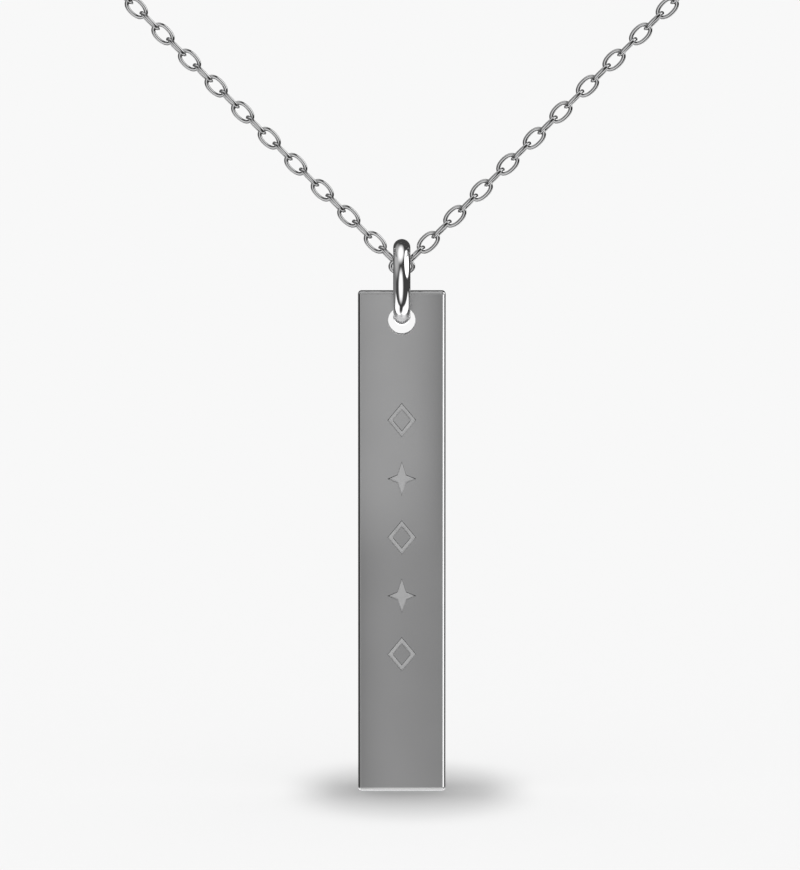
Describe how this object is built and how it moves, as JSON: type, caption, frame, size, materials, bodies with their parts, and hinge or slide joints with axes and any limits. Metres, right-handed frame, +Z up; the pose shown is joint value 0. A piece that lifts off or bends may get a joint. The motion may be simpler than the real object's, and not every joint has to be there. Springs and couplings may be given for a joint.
{
  "type": "bar necklace",
  "caption": "Flat upright bar pendant with rounded edges and an engraved column of plain figures, hung by a round jump ring from a closed loop of fine oval-link cable chain.",
  "frame": {"origin": "the nape: the middle of the closed clasp at the back of the loop, where the necklace rests on the wearer's neck", "axes": "+Z up along the hanging bar, -Y towards the viewer who faces the bar's front, +X to that viewer's right"},
  "size_m": [0.1292, 0.1135, 0.1483],
  "materials": {
    "bar": "satin, darkened steel with a fine blasted grain and polished rounded edges",
    "jump_ring": "polished",
    "chain": "polished links, dulled between the wires",
    "clasp": "polished"
  },
  "bodies": {
    "chain": {"chain_front": "chain", "chain_back": "chain", "clasp": "clasp", "end_ring": "clasp"},
    "ring": {"jump_ring": "jump_ring"},
    "pendant": {"bar": "bar"}
  },
  "joints": [
    {"name": "ring_swing", "type": "hinge", "parent": "chain", "child": "ring", "pos_m": [0, -0.109, -0.1085], "axis": [1, 0, 0], "range_deg": [-80, 80]},
    {"name": "bar_swing", "type": "hinge", "parent": "ring", "child": "pendant", "pos_m": [0, -0.109, -0.11199], "axis": [0, 1, 0], "range_deg": [-30, 30]}
  ]
}
